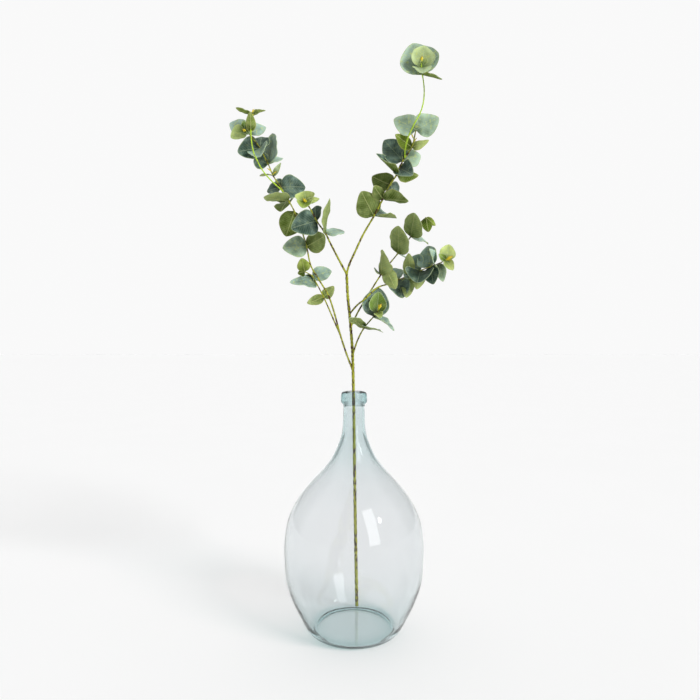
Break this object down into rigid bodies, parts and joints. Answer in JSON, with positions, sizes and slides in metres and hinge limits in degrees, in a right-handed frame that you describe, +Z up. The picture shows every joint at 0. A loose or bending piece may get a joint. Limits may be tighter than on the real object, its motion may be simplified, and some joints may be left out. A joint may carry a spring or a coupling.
{
  "type": "eucalyptus branch in a bottle",
  "caption": "Round-leaved eucalyptus branch with young tips, standing in a clear round demijohn bottle with a narrow neck and a rolled lip.",
  "frame": {"origin": "centre of the bottle's flat foot, on the surface it stands on", "axes": "+Z up along the bottle's axis, +X to the viewer's right, -Y towards the viewer"},
  "size_m": [0.3908, 0.2656, 1.004],
  "materials": {
    "glass": "polished",
    "stem": "matte",
    "leaf": "matte",
    "young_leaf": "matte"
  },
  "bodies": {
    "root": {"bottle": "glass", "main_stem": "stem", "spray_left_fork": "leaf", "spray_right_fork": "leaf", "shoot_right_top": "young_leaf", "spray_right_upper": "leaf", "spray_right_middle": "leaf", "spray_right_lower": "leaf", "spray_left_long": "leaf", "shoot_left_top": "young_leaf", "spray_left_short": "leaf"}
  },
  "joints": []
}
